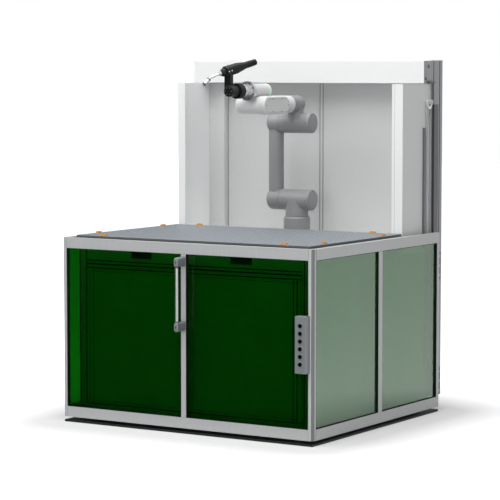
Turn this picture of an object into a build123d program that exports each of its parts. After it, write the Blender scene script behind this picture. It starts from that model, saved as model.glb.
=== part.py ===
"""Welding cell: a cabinet table with a robot arm behind it and a three-sided guard that lifts.

Millimetres, +Z up. The origin is the centre of the base plate's underside, and the front faces -Y.
"""
import os
from math import cos, radians, sin

from build123d import *

# Overall sizes
base_depth = 1425.0
base_thickness = 12.0
guard_width = 1615.0
guard_depth = 1420.0
guard_height = 1000.0
guard_floor_gap = 30.0
guard_travel = 840.0
running_gap = 0.5
overrun = 5.0

# Guard: frames of aluminium profile with tinted screens
base_inset = 7.5
guard_front_overhang = 5.0
rail_height = 58.0
post_width = 30.0
profile_depth = 30.0
corner_round = 26.0
side_post_width = 40.0
rear_post_width = 26.0
screen_thickness = 4.0
screen_setback = 12.0
handle_length = 400.0
handle_radius = 8.5
handle_standoff = 62.0
handle_drop = 272.0
handle_foot_width = 27.0
handle_foot_height = 52.0
handle_foot_nose = 13.0
handle_foot_round = 7.0
button_box_width = 68.0
button_box_height = 300.0
button_box_depth = 40.0
button_box_round = 6.0
button_box_edge_round = 3.0
button_box_overlap = 10.0
button_box_drop = 495.0
button_count = 6
button_pitch = 40.3
button_radius = 11.0
button_depth = 8.0
button_chamfer = 1.5

# Cabinet and table
cabinet_inset = 67.5
cabinet_setback = 90.0
cabinet_wall = 8.0
plinth_height = 46.0
plinth_setback = 30.0
panel_thickness = 18.0
panel_gap = 5.0
panel_round = 2.0
door_lift = 50.0
door_drop = 65.0
drawer_drop = 19.0
panel_side_margin = 45.0
pull_width = 135.0
pull_height = 50.0
pull_depth = 9.0
pull_recess = 3.0
pull_lip = 8.0
pull_centre_x = 322.0
pull_drop = 79.0
table_inset = 55.5
table_depth = 1000.0
table_thickness = 13.0
table_setback = 62.0
table_proud = 12.0
table_chamfer = 1.5
skirt_height = 105.0
skirt_thickness = 20.0
skirt_setback = 12.0
hole_radius = 8.0
hole_pitch = 50.0
hole_columns = 29
hole_rows = 19
stop_length = 36.0
stop_width = 18.0
stop_height = 9.0
stop_round = 3.0
stop_inset = 20.0
stop_long_share = 0.386
stop_short_share = 0.32

# Enclosure behind the table
deck_thickness = 15.0
wall_gap = 13.0
wall_inset = 57.5
wall_rise = 5.0
wall_sheet = 3.0
left_flange = 46.0
right_flange = 68.0
wall_lip = 18.0
back_wall_setback = 40.0
back_wall_thickness = 20.0
back_joint_gap = 4.0
header_depth = 85.0
header_gap = 2.0
header_height = 129.0
header_round = 2.0
header_left_reach = 50.0
column_width = 105.0
column_depth = 148.0
column_floor_gap = 84.0
column_lap = 10.0
column_proud = 2.0
column_round = 4.0
slot_mouth = 10.0
slot_depth = 14.0
slot_share = 0.25

# Guard lift: rails, belts, pulleys and carriages beside the columns
rail_width = 50.0
rail_thickness = 12.0
rail_offset = 24.0
rail_start = 46.0
rail_end = 251.0
carriage_length = 160.0
carriage_cheek = 10.0
carriage_clearance = 5.5
carriage_grip = 20.0
carriage_inset = 140.0
carriage_top_inset = 195.0
belt_width = 12.0
belt_thickness = 4.0
pulley_radius = 26.0
pulley_rim = 2.5
pulley_hub_radius = 12.0
pulley_gap = 2.0
pulley_setback = 46.0
pulley_end = 119.0
pulley_start = 260.0
strip_width = 16.0
strip_thickness = 10.0
strip_front_gap = 20.0
strip_end = 248.0

# Robot arm
robot_setback = 125.0
base_to_shoulder = 265.0
lower_arm_length = 444.0
elbow_rise = 109.0
forearm_reach = 470.0
wrist_rise = 80.0
flange_reach = 61.0
robot_foot_radius = 86.0
robot_foot_height = 16.0
robot_base_radius = 77.0
robot_base_height = 170.0
robot_base_round = 14.0
neck_radius = 66.0
shoulder_radius = 61.0
shoulder_right = 107.0
arm_inner_x = -95.0
arm_outer_x = -184.0
arm_radius = 44.0
arm_tube_inset = 44.2
elbow_radius = 59.0
elbow_neck_radius = 45.0
joint_round = 10.0
arm_end_round = 30.0
forearm_radius = 50.0
elbow_lead = 16.0
knee_back = 46.0
knee_round = 30.0
forearm_start = 100.0
forearm_tube_end = 190.0
fork_inner_x = 44.0
fork_outer_x = 100.0
fork_half_height = 52.0
fork_length = 175.0
fork_round = 12.0
wrist_radius = 48.0
wrist_left_x = -104.0
wrist_end_round = 22.0
tool_axis_radius = 40.0
tool_axis_back = 131.0
tool_axis_round = 8.0
ring_length = 8.0
ring_proud = 1.0
ring_inset = 14.0

# Tool: flange, adapter, torch mount and torch
flange_length = 12.0
flange_radius = 38.0
adapter_radius = 54.0
adapter_length = 16.0
adapter_neck_radius = 34.0
adapter_neck_length = 70.0
mount_collar_radius = 41.0
mount_collar_length = 45.0
mount_radius = 31.0
mount_length = 76.0
mount_post_reach = 40.0
mount_round = 5.0
mount_post_width = 28.0
mount_post_widening = 12.0
mount_post_depth = 28.0
mount_post_inset = 2.0
torch_yaw_deg = 25.0
torch_pitch_deg = 15.5
torch_rise = 110.0
torch_side = 27.0
clamp_radius = 31.0
clamp_length = 34.0
torch_radius = 22.0
torch_waist_radius = 29.0
torch_waist_length = 46.0
torch_taper_length = 62.0
boot_radius = 18.0
boot_tip_radius = 16.0
boot_length = 190.0
nose_radius = 14.0
nose_length = 12.0
torch_front_length = 30.0
neck_tube_radius = 7.0
neck_lead_length = 8.0
neck_first_radius = 120.0
neck_first_deg = 5.5
neck_straight_length = 46.0
neck_bend_radius = 45.0
neck_bend_deg = 20.5
nozzle_radius = 10.3
nozzle_length = 38.0
nozzle_collar_radius = 11.6
nozzle_collar_length = 8.0
nozzle_tip_length = 9.0
nozzle_tip_radius = 8.5

# Places worked out from the sizes
base_width = guard_width - 2 * base_inset
guard_half = guard_width / 2
guard_front = -base_depth / 2 - guard_front_overhang
guard_rear = guard_front + guard_depth
guard_bottom = guard_floor_gap
guard_top = guard_bottom + guard_height
post_inner_x = guard_half - post_width
handle_middle_z = guard_top - handle_drop
button_box_middle_z = guard_top - button_box_drop
table_half = guard_half - table_inset
table_width = 2 * table_half
table_front = guard_front + table_setback
table_rear = table_front + table_depth
table_middle_y = table_front + table_depth / 2
table_top = guard_top + table_proud
table_underside = table_top - table_thickness
cabinet_half = guard_half - cabinet_inset
cabinet_front = guard_front + cabinet_setback
cabinet_top = table_underside - skirt_height
panel_front = cabinet_front - panel_thickness
door_bottom = base_thickness + plinth_height + door_lift
door_top = cabinet_top - door_drop
drawer_bottom = cabinet_top - drawer_drop
pull_middle_z = table_underside - pull_drop
deck_top = cabinet_top + deck_thickness
wall_half = guard_half - wall_inset
wall_front = table_rear + wall_gap
wall_top = guard_top + guard_travel + wall_rise
inner_x = wall_half - column_width
header_bottom = wall_top + header_gap
header_top = header_bottom + header_height
column_front = guard_rear - column_lap
column_rear = column_front + column_depth
column_bottom = column_floor_gap
column_top = header_top + column_proud
cabinet_back = column_front
header_front = column_front - header_depth
back_wall_front = column_front + back_wall_setback
rail_bottom = column_bottom + rail_start
rail_top = column_top - rail_end
carriage_low_z = guard_bottom + carriage_inset
carriage_high_z = guard_top - carriage_top_inset
pulley_bottom_z = guard_bottom + pulley_start
pulley_top_z = wall_top - pulley_end
strip_top = wall_top - strip_end
robot_y = table_rear + robot_setback
shoulder_z = deck_top + base_to_shoulder
elbow_z = shoulder_z + lower_arm_length
forearm_z = elbow_z + elbow_rise
wrist_y = robot_y - forearm_reach
tool_z = forearm_z + wrist_rise
wrist_right_x = fork_inner_x - running_gap
flange_y = wrist_y - flange_reach


def span(x, y, z, mode=Mode.ADD):
    """A block between pairs of low and high planes."""
    middle = (sum(x) / 2, sum(y) / 2, sum(z) / 2)
    with Locations(middle):
        Box(x[1] - x[0], y[1] - y[0], z[1] - z[0], mode=mode)


def keep(piece, label):
    """Label a finished piece and write it."""
    piece.part.label = label
    export_step(piece.part, f"parts/{label}.step")


def mirrored(low, high, side):
    """A pair of X planes on one side of the middle, the lower first."""
    return tuple(sorted((side * low, side * high)))


os.makedirs("parts", exist_ok=True)
sides = {"left": -1, "right": 1}

# Base plate on the floor
with BuildPart() as base_plate:
    span((-base_width / 2, base_width / 2), (-base_depth / 2, base_depth / 2), (0, base_thickness))
    chamfer(base_plate.faces().sort_by(Axis.Z)[-1].edges(), table_chamfer)
keep(base_plate, "base_plate")

# Cabinet: closed housing on a set-back plinth
with BuildPart() as cabinet_body:
    span(
        (-cabinet_half + plinth_setback, cabinet_half - plinth_setback),
        (cabinet_front + plinth_setback, cabinet_back - plinth_setback),
        (base_thickness, base_thickness + plinth_height),
    )
    span(
        (-cabinet_half, cabinet_half),
        (cabinet_front, cabinet_back),
        (base_thickness + plinth_height, cabinet_top),
    )
    span(
        (-wall_half + column_width, wall_half - column_width),
        (cabinet_front, back_wall_front + back_wall_thickness),
        (base_thickness + plinth_height, cabinet_top),
    )
    inset = plinth_setback + cabinet_wall
    span(
        (-cabinet_half + inset, cabinet_half - inset),
        (cabinet_front + inset, cabinet_back - inset),
        (base_thickness - overrun, base_thickness + plinth_height + cabinet_wall),
        mode=Mode.SUBTRACT,
    )
    span(
        (-cabinet_half + cabinet_wall, cabinet_half - cabinet_wall),
        (cabinet_front + cabinet_wall, cabinet_back - cabinet_wall),
        (base_thickness + plinth_height + cabinet_wall, cabinet_top - cabinet_wall),
        mode=Mode.SUBTRACT,
    )
keep(cabinet_body, "cabinet_body")

# Door and drawer panels on the cabinet's front, in pairs
for side_name, side in sides.items():
    panel_x = mirrored(panel_gap / 2, cabinet_half - panel_side_margin, side)
    with BuildPart() as door:
        span(panel_x, (panel_front, cabinet_front), (door_bottom, door_top))
        fillet(door.faces().sort_by(Axis.Y)[0].edges(), panel_round)
    keep(door, f"{side_name}_door")

    pull_x = (side * pull_centre_x - pull_width / 2, side * pull_centre_x + pull_width / 2)
    pull_z = (pull_middle_z - pull_height / 2, pull_middle_z + pull_height / 2)
    with BuildPart() as drawer_front:
        span(panel_x, (panel_front, cabinet_front), (drawer_bottom, table_underside - panel_gap))
        fillet(drawer_front.faces().sort_by(Axis.Y)[0].edges(), panel_round)
        span(pull_x, (panel_front - overrun, panel_front + pull_depth), pull_z, mode=Mode.SUBTRACT)
    keep(drawer_front, f"{side_name}_drawer_front")

# Black cup pulls set into the drawer fronts
with BuildPart() as drawer_pulls:
    for side in sides.values():
        pull_x = (side * pull_centre_x - pull_width / 2, side * pull_centre_x + pull_width / 2)
        pull_z = (pull_middle_z - pull_height / 2, pull_middle_z + pull_height / 2)
        span(pull_x, (panel_front, panel_front + pull_depth), pull_z)
        span(
            (pull_x[0] + pull_lip, pull_x[1] - pull_lip),
            (panel_front - overrun, panel_front + pull_depth - pull_recess),
            (pull_z[0] + pull_lip, pull_z[1] - pull_lip),
            mode=Mode.SUBTRACT,
        )
keep(drawer_pulls, "drawer_pulls")

# Skirt that carries the table plate above the cabinet
with BuildPart() as table_skirt:
    span(
        (-table_half + skirt_setback, table_half - skirt_setback),
        (cabinet_front, table_rear - skirt_setback),
        (cabinet_top, table_underside),
    )
    span(
        (-table_half + skirt_setback + skirt_thickness, table_half - skirt_setback - skirt_thickness),
        (cabinet_front + skirt_thickness, table_rear - skirt_setback - skirt_thickness),
        (cabinet_top - overrun, table_underside + overrun),
        mode=Mode.SUBTRACT,
    )
keep(table_skirt, "table_skirt")

# Table plate with its grid of fixture holes
with BuildPart() as table_plate:
    with BuildSketch(Plane.XY.offset(table_underside)):
        with Locations((0, table_middle_y)):
            Rectangle(table_width, table_depth)
            with GridLocations(hole_pitch, hole_pitch, hole_columns, hole_rows):
                Circle(hole_radius, mode=Mode.SUBTRACT)
    extrude(amount=table_thickness)
    chamfer(table_plate.faces().sort_by(Axis.Z)[-1].outer_wire().edges(), table_chamfer)
keep(table_plate, "table_plate")

# Orange stops along the table's edges, two on each
long_x = table_width * stop_long_share
short_y = table_depth * stop_short_share
with BuildPart() as table_stops:
    for y in (table_front + stop_inset, table_rear - stop_inset):
        for x in (-long_x, long_x):
            with Locations((x, y, table_top + stop_height / 2)):
                Box(stop_length, stop_width, stop_height)
    for x in (-table_half + stop_inset, table_half - stop_inset):
        for y in (table_middle_y - short_y, table_middle_y + short_y):
            with Locations((x, y, table_top + stop_height / 2)):
                Box(stop_width, stop_length, stop_height)
    fillet(table_stops.edges().filter_by(Axis.Z), stop_round)
keep(table_stops, "table_stops")

# Deck behind the table, which carries the robot
with BuildPart() as robot_deck:
    deck_front = table_rear - skirt_setback
    span((-cabinet_half, cabinet_half), (deck_front, cabinet_back), (cabinet_top, deck_top))
    span((-inner_x, inner_x), (deck_front, back_wall_front), (cabinet_top, deck_top))
keep(robot_deck, "robot_deck")

# Side walls of folded sheet, with a flange and a lip at the front
for side_name, wall_flange in (("left", left_flange), ("right", right_flange)):
    side = sides[side_name]
    with BuildPart() as wall:
        with BuildSketch(Plane.XY.offset(deck_top)):
            with BuildLine():
                Polyline(
                    (side * (wall_half - wall_flange), wall_front + wall_lip),
                    (side * (wall_half - wall_flange), wall_front),
                    (side * wall_half, wall_front),
                    (side * wall_half, column_front),
                    (side * inner_x, column_front),
                    (side * inner_x, back_wall_front),
                    (side * (inner_x - wall_sheet), back_wall_front),
                    (side * (inner_x - wall_sheet), column_front - wall_sheet),
                    (side * (wall_half - wall_sheet), column_front - wall_sheet),
                    (side * (wall_half - wall_sheet), wall_front + wall_sheet),
                    (side * (wall_half - wall_flange + wall_sheet), wall_front + wall_sheet),
                    (side * (wall_half - wall_flange + wall_sheet), wall_front + wall_lip),
                    close=True,
                )
            make_face()
        extrude(amount=wall_top - deck_top)
    keep(wall, f"{side_name}_wall")

# Back wall in two panels that meet in the middle
for side_name, side in sides.items():
    with BuildPart() as back_panel:
        span(
            mirrored(back_joint_gap / 2, wall_half - column_width, side),
            (back_wall_front, back_wall_front + back_wall_thickness),
            (cabinet_top, header_top),
        )
        fillet(back_panel.faces().sort_by(Axis.Y)[0].edges().filter_by(Axis.Z), panel_round)
    keep(back_panel, f"{side_name}_back_panel")

# Header box across the front of both columns
with BuildPart() as header_box:
    header_x = (-wall_half - header_left_reach, wall_half)
    span(header_x, (header_front, column_front), (header_bottom, header_top))
    fillet(header_box.faces().sort_by(Axis.Y)[0].edges(), header_round)
keep(header_box, "header_box")

# Columns of slotted aluminium profile
for side_name, side in sides.items():
    middle_x = side * (wall_half - column_width / 2)
    middle_y = column_front + column_depth / 2
    with BuildPart() as column:
        with BuildSketch(Plane.XY.offset(column_bottom)):
            with Locations((middle_x, middle_y)):
                RectangleRounded(column_width, column_depth, column_round)
            for share in (slot_share, 1 - slot_share):
                with Locations((middle_x, column_front + column_depth * share)):
                    for end in (-1, 1):
                        with Locations((end * (column_width - slot_depth) / 2, 0)):
                            Rectangle(slot_depth, slot_mouth, mode=Mode.SUBTRACT)
        extrude(amount=column_top - column_bottom)
    keep(column, f"{side_name}_column")

# Guide rails on the columns' outer faces
rail_y = (column_front + rail_offset, column_front + rail_offset + rail_width)
with BuildPart() as guide_rails:
    for side in sides.values():
        span(mirrored(wall_half, wall_half + rail_thickness, side), rail_y, (rail_bottom, rail_top))
keep(guide_rails, "guide_rails")

# Pulleys for the lift belts, on pins beside the walls
pulley_y = column_front - pulley_setback
pulley_x = (wall_half + pulley_gap, wall_half + pulley_gap + belt_width + 2 * pulley_rim)
with BuildPart() as lift_pulleys:
    for side in sides.values():
        for z in (pulley_bottom_z, pulley_top_z):
            rims = mirrored(*pulley_x, side)
            with Locations((sum(rims) / 2, pulley_y, z)):
                Cylinder(pulley_radius - belt_thickness, rims[1] - rims[0], rotation=(0, 90, 0))
            for rim in (rims[0] + pulley_rim / 2, rims[1] - pulley_rim / 2):
                with Locations((rim, pulley_y, z)):
                    Cylinder(pulley_radius, pulley_rim, rotation=(0, 90, 0))
            hub = mirrored(wall_half, wall_half + pulley_gap, side)
            with Locations((sum(hub) / 2, pulley_y, z)):
                Cylinder(pulley_hub_radius, pulley_gap, rotation=(0, 90, 0))
keep(lift_pulleys, "lift_pulleys")

# Lift belts: one closed loop over each pair of pulleys
with BuildPart() as lift_belts:
    for side in sides.values():
        belt_start = mirrored(pulley_x[0] + pulley_rim, pulley_x[0] + pulley_rim + belt_width, side)[0]
        loop = Plane.YZ.offset(belt_start)
        with BuildSketch(loop):
            with Locations((pulley_y, (pulley_top_z + pulley_bottom_z) / 2)):
                SlotCenterToCenter(pulley_top_z - pulley_bottom_z, 2 * pulley_radius, rotation=90)
                SlotCenterToCenter(
                    pulley_top_z - pulley_bottom_z,
                    2 * (pulley_radius - belt_thickness),
                    rotation=90,
                    mode=Mode.SUBTRACT,
                )
        extrude(amount=belt_width)
keep(lift_belts, "lift_belts")

# Dark seal strips down the walls, in front of the belts
strip_y = pulley_y - pulley_radius - strip_front_gap
with BuildPart() as seal_strips:
    for side in sides.values():
        span(
            mirrored(wall_half, wall_half + strip_thickness, side),
            (strip_y, strip_y + strip_width),
            (deck_top, strip_top),
        )
keep(seal_strips, "seal_strips")

# Guard front: rails, corner posts and a middle post, with round outer corners
opening_z = (guard_bottom + rail_height, guard_top - rail_height)
guard_front_y = (guard_front, guard_front + profile_depth)
with BuildPart() as guard_front_frame:
    span((-guard_half, guard_half), guard_front_y, (guard_bottom, guard_top))
    for side in sides.values():
        span(
            mirrored(post_width / 2, post_inner_x, side),
            (guard_front - overrun, guard_front + profile_depth + overrun),
            opening_z,
            mode=Mode.SUBTRACT,
        )
    outer_edges = guard_front_frame.faces().sort_by(Axis.Y)[0].outer_wire().edges().filter_by(Axis.Z)
    fillet(outer_edges, corner_round)
keep(guard_front_frame, "guard_front_frame")

screen_y = (guard_front + screen_setback, guard_front + screen_setback + screen_thickness)
with BuildPart() as front_screens:
    for side in sides.values():
        span(mirrored(post_width / 2, post_inner_x, side), screen_y, opening_z)
keep(front_screens, "front_screens")

# Guard sides: each a frame with a middle post and two screens
side_start = guard_front + profile_depth
side_middle = (side_start + guard_rear) / 2
bays = (
    (side_start, side_middle - side_post_width / 2),
    (side_middle + side_post_width / 2, guard_rear - rear_post_width),
)
for side_name, side in sides.items():
    frame_x = mirrored(guard_half - profile_depth, guard_half, side)
    with BuildPart() as side_frame:
        span(frame_x, (side_start, guard_rear), (guard_bottom, guard_top))
        cut_x = (frame_x[0] - overrun, frame_x[1] + overrun)
        span(cut_x, (side_start - overrun, bays[0][1]), opening_z, mode=Mode.SUBTRACT)
        span(cut_x, bays[1], opening_z, mode=Mode.SUBTRACT)
    keep(side_frame, f"guard_{side_name}_frame")

    pane_x = mirrored(
        guard_half - screen_setback - screen_thickness, guard_half - screen_setback, side
    )
    with BuildPart() as side_screens:
        for bay in bays:
            span(pane_x, bay, opening_z)
    keep(side_screens, f"{side_name}_screens")

# Handle on the middle post: a round bar held by two brackets
bar_y = guard_front - handle_standoff
with BuildPart() as handle_bar:
    with Locations((0, bar_y, handle_middle_z)):
        Cylinder(handle_radius, handle_length - 2 * handle_foot_height)
keep(handle_bar, "handle_bar")

with BuildPart() as handle_brackets:
    with BuildSketch(Plane.XZ.offset(-guard_front)):
        for end in (-1, 1):
            with Locations((0, handle_middle_z + end * (handle_length - handle_foot_height) / 2)):
                SlotOverall(handle_foot_height, handle_foot_width, rotation=90)
    extrude(amount=handle_standoff + handle_foot_nose)
    fillet(handle_brackets.faces().filter_by(Axis.Y).group_by(Axis.Y)[0].edges(), handle_foot_round)
keep(handle_brackets, "handle_brackets")

# Push-button box beside the right front post
box_x = (post_inner_x + button_box_overlap - button_box_width, post_inner_x + button_box_overlap)
box_front = guard_front - button_box_depth
with BuildPart() as button_box:
    span(
        box_x,
        (box_front, guard_front),
        (button_box_middle_z - button_box_height / 2, button_box_middle_z + button_box_height / 2),
    )
    fillet(button_box.edges().filter_by(Axis.Y), button_box_round)
    fillet(button_box.faces().sort_by(Axis.Y)[0].edges(), button_box_edge_round)
keep(button_box, "button_box")

with BuildPart() as push_buttons:
    with BuildSketch(Plane.XZ.offset(-box_front)):
        with Locations((sum(box_x) / 2, button_box_middle_z)):
            with GridLocations(button_pitch, button_pitch, 1, button_count):
                Circle(button_radius)
    extrude(amount=button_depth)
    chamfer(push_buttons.faces().filter_by(Axis.Y).group_by(Axis.Y)[0].edges(), button_chamfer)
keep(push_buttons, "push_buttons")

# Carriages that run on the guide rails and carry the guard's rear posts
web_x = (wall_half + rail_thickness + running_gap, guard_half - profile_depth)
carriage_y = (rail_y[0] - running_gap - carriage_cheek, rail_y[1] + running_gap + carriage_cheek)
for side_name, side in sides.items():
    with BuildPart() as carriages:
        for z in (carriage_low_z, carriage_high_z):
            height = (z - carriage_length / 2, z + carriage_length / 2)
            span(mirrored(*web_x, side), (guard_rear - carriage_grip, carriage_y[1]), height)
            cheek_x = mirrored(wall_half + carriage_clearance, web_x[0] + running_gap, side)
            span(cheek_x, (carriage_y[0], carriage_y[0] + carriage_cheek), height)
            span(cheek_x, (carriage_y[1] - carriage_cheek, carriage_y[1]), height)
    keep(carriages, f"{side_name}_carriages")

# Robot base: a round foot and a drum with a rounded shoulder
with BuildPart() as robot_base:
    with BuildSketch(Plane.XZ.offset(-robot_y)):
        with BuildLine():
            Polyline(
                (0, deck_top),
                (robot_foot_radius, deck_top),
                (robot_foot_radius, deck_top + robot_foot_height),
                (robot_base_radius, deck_top + robot_foot_height),
                (robot_base_radius, deck_top + robot_base_height),
                (0, deck_top + robot_base_height),
                close=True,
            )
        make_face()
    revolve(axis=Axis((0, robot_y, 0), (0, 0, 1)))
    fillet(robot_base.faces().sort_by(Axis.Z)[-1].edges(), robot_base_round)
keep(robot_base, "robot_base")

# Shoulder: a neck that turns on the base and a cross drum
neck_bottom = deck_top + robot_base_height + running_gap
with BuildPart() as robot_shoulder:
    with Locations((0, robot_y, (neck_bottom + shoulder_z) / 2)):
        Cylinder(neck_radius, shoulder_z - neck_bottom)
    with Locations(((arm_inner_x + shoulder_right) / 2, robot_y, shoulder_z)):
        Cylinder(shoulder_radius, shoulder_right - arm_inner_x, rotation=(0, 90, 0))
    fillet(robot_shoulder.faces().sort_by(Axis.X)[-1].edges(), joint_round)
keep(robot_shoulder, "robot_shoulder")

# Lower arm: two cross drums joined by a tube
arm_near = arm_inner_x - running_gap
arm_middle_x = (arm_near + arm_outer_x) / 2
arm_tube_x = arm_outer_x + arm_tube_inset
with BuildPart() as robot_lower_arm:
    for z, radius in ((shoulder_z, shoulder_radius), (elbow_z, elbow_radius)):
        with Locations((arm_middle_x, robot_y, z)):
            Cylinder(radius, arm_near - arm_outer_x, rotation=(0, 90, 0))
    fillet(robot_lower_arm.faces().filter_by(Axis.X).group_by(Axis.X)[0].edges(), arm_end_round)
    with Locations((arm_tube_x, robot_y, (shoulder_z + elbow_z) / 2)):
        Cylinder(arm_radius, lower_arm_length)
keep(robot_lower_arm, "robot_lower_arm")

# Elbow: a cross drum with a neck up to the forearm's axis
elbow_front = robot_y - forearm_start
knee_y = robot_y - elbow_lead
with BuildPart() as robot_elbow:
    with Locations(((arm_inner_x + shoulder_right) / 2, robot_y, elbow_z)):
        Cylinder(elbow_radius, shoulder_right - arm_inner_x, rotation=(0, 90, 0))
    fillet(robot_elbow.faces().sort_by(Axis.X)[-1].edges(), joint_round)
    with Locations((0, knee_y, (elbow_z + forearm_z) / 2)):
        Cylinder(elbow_neck_radius, elbow_rise)
    with Locations((0, (elbow_front + knee_y + knee_back) / 2, forearm_z)):
        Cylinder(forearm_radius, knee_y + knee_back - elbow_front, rotation=(90, 0, 0))
    fillet(robot_elbow.faces().sort_by(Axis.Y)[-1].edges(), knee_round)
keep(robot_elbow, "robot_elbow")

# Forearm: a tube that runs into a one-sided fork round the wrist
tube_start = elbow_front - running_gap
tube_end = wrist_y + forearm_tube_end
with BuildPart() as robot_forearm:
    with Locations((0, (tube_start + tube_end) / 2, forearm_z)):
        Cylinder(forearm_radius, tube_start - tube_end, rotation=(90, 0, 0))
    with BuildSketch(Plane.YZ.offset(fork_inner_x)):
        with Locations((wrist_y + fork_length / 2, forearm_z)):
            SlotCenterToCenter(fork_length, 2 * fork_half_height)
    extrude(amount=fork_outer_x - fork_inner_x)
    fillet(robot_forearm.faces().sort_by(Axis.X)[-1].edges(), fork_round)
keep(robot_forearm, "robot_forearm")

# Wrist: a cross drum with a rounded end, and the tool axis housing over it
housing_back = wrist_y + tool_axis_back
housing_front = flange_y + flange_length + running_gap
with BuildPart() as robot_wrist:
    with Locations(((wrist_left_x + wrist_right_x) / 2, wrist_y, forearm_z)):
        Cylinder(wrist_radius, wrist_right_x - wrist_left_x, rotation=(0, 90, 0))
    fillet(robot_wrist.faces().sort_by(Axis.X)[0].edges(), wrist_end_round)
    with Locations((0, (housing_back + housing_front) / 2, tool_z)):
        Cylinder(tool_axis_radius, housing_back - housing_front, rotation=(90, 0, 0))
    fillet(robot_wrist.faces().sort_by(Axis.Y)[-1].edges(), tool_axis_round)
keep(robot_wrist, "robot_wrist")

# Light ring round the tool axis housing
ring_y = housing_back - ring_inset
with BuildPart() as light_ring:
    with BuildSketch(Plane.XZ.offset(-ring_y)):
        with Locations((0, tool_z)):
            Circle(tool_axis_radius + ring_proud)
            Circle(tool_axis_radius, mode=Mode.SUBTRACT)
    extrude(amount=ring_length)
keep(light_ring, "light_ring")

# Tool flange and its bright adapter
adapter_back = flange_y
adapter_neck_y = adapter_back - adapter_length
adapter_front = adapter_neck_y - adapter_neck_length
with BuildPart() as tool_flange:
    for radius, back, front in (
        (flange_radius, flange_y + flange_length, flange_y),
        (adapter_radius, adapter_back, adapter_neck_y),
        (adapter_neck_radius, adapter_neck_y, adapter_front),
    ):
        with Locations((0, (back + front) / 2, tool_z)):
            Cylinder(radius, back - front, rotation=(90, 0, 0))
keep(tool_flange, "tool_flange")

# Torch mount: a collar and a drum with a post up to the torch clamp
mount_back = adapter_front - mount_collar_length
mount_front = mount_back - mount_length
torch_z = tool_z + torch_rise
torch_y = mount_back - mount_post_reach
post_y = torch_y + mount_post_inset
torch_point = Vector(-torch_side, torch_y, torch_z)
forward = Vector(
    -sin(radians(torch_yaw_deg)) * cos(radians(torch_pitch_deg)),
    -cos(radians(torch_yaw_deg)) * cos(radians(torch_pitch_deg)),
    -sin(radians(torch_pitch_deg)),
)
level = Vector(cos(radians(torch_yaw_deg)), -sin(radians(torch_yaw_deg)), 0)
torch_plane = Plane(torch_point, x_dir=level, z_dir=forward)
with BuildPart() as torch_mount:
    for radius, back, front in (
        (mount_collar_radius, adapter_front, mount_back),
        (mount_radius, mount_back, mount_front),
    ):
        with Locations((0, (back + front) / 2, tool_z)):
            Cylinder(radius, back - front, rotation=(90, 0, 0))
    fillet(torch_mount.faces().sort_by(Axis.Y)[0].edges(), mount_round)
    span(
        (-torch_side - mount_post_width / 2, mount_post_width / 2 + mount_post_widening - torch_side),
        (post_y - mount_post_depth / 2, post_y + mount_post_depth / 2),
        (tool_z, torch_z),
    )
    with BuildSketch(torch_plane.offset(-clamp_length / 2)):
        Circle(clamp_radius)
    extrude(amount=clamp_length)
    with BuildSketch(torch_plane.offset(-clamp_length)):
        Circle(torch_radius)
    extrude(amount=2 * clamp_length, mode=Mode.SUBTRACT)
    with BuildSketch(torch_plane.offset(-clamp_length / 2 - torch_waist_length)):
        Circle(torch_waist_radius)
    extrude(amount=torch_waist_length, mode=Mode.SUBTRACT)
keep(torch_mount, "torch_mount")

# Torch body with its tapered boot, along the clamp's axis
body_front = clamp_length / 2 + torch_front_length
waist_end = -clamp_length / 2 - torch_waist_length
taper_end = waist_end - torch_taper_length
with BuildPart() as torch_body:
    with BuildSketch(Plane(torch_point, x_dir=level, z_dir=level.cross(forward))):
        with BuildLine():
            Polyline(
                (0, -boot_length),
                (boot_tip_radius, -boot_length),
                (boot_radius, taper_end),
                (torch_waist_radius, waist_end),
                (torch_waist_radius, -clamp_length / 2),
                (torch_radius, -clamp_length / 2),
                (torch_radius, body_front - nose_length),
                (nose_radius, body_front),
                (0, body_front),
                close=True,
            )
        make_face()
    revolve(axis=Axis(torch_point, forward))
keep(torch_body, "torch_body")

# Bent neck tube in front of the body
bend_plane = Plane(torch_point + forward * body_front, x_dir=forward, z_dir=level)
with BuildPart() as torch_neck:
    with BuildLine(bend_plane) as neck_path:
        lead = Line((0, 0), (neck_lead_length, 0))
        first = JernArc(lead @ 1, lead % 1, neck_first_radius, neck_first_deg)
        run = Line(first @ 1, (first @ 1) + (first % 1) * neck_straight_length)
        bend = JernArc(run @ 1, run % 1, neck_bend_radius, neck_bend_deg)
    with BuildSketch(Plane(bend_plane.origin, z_dir=forward)):
        Circle(neck_tube_radius)
    sweep(path=neck_path.wires()[0])
neck_end = neck_path.wires()[0] @ 1
neck_direction = neck_path.wires()[0] % 1
keep(torch_neck, "torch_neck")

# Nozzle with a collar at its back and a narrower mouth
with BuildPart() as torch_nozzle:
    with BuildSketch(Plane(neck_end, x_dir=level, z_dir=level.cross(neck_direction))):
        with BuildLine():
            Polyline(
                (0, 0),
                (nozzle_collar_radius, 0),
                (nozzle_collar_radius, nozzle_collar_length),
                (nozzle_radius, nozzle_collar_length),
                (nozzle_radius, nozzle_length),
                (nozzle_tip_radius, nozzle_length + nozzle_tip_length),
                (0, nozzle_length + nozzle_tip_length),
                close=True,
            )
        make_face()
    revolve(axis=Axis(neck_end, neck_direction))
keep(torch_nozzle, "torch_nozzle")
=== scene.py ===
"""Looks for the robotic welding cell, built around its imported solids. Metres, +Z up, front facing -Y."""
import math

import bmesh
import bpy
from mathutils import Matrix, Vector


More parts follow.
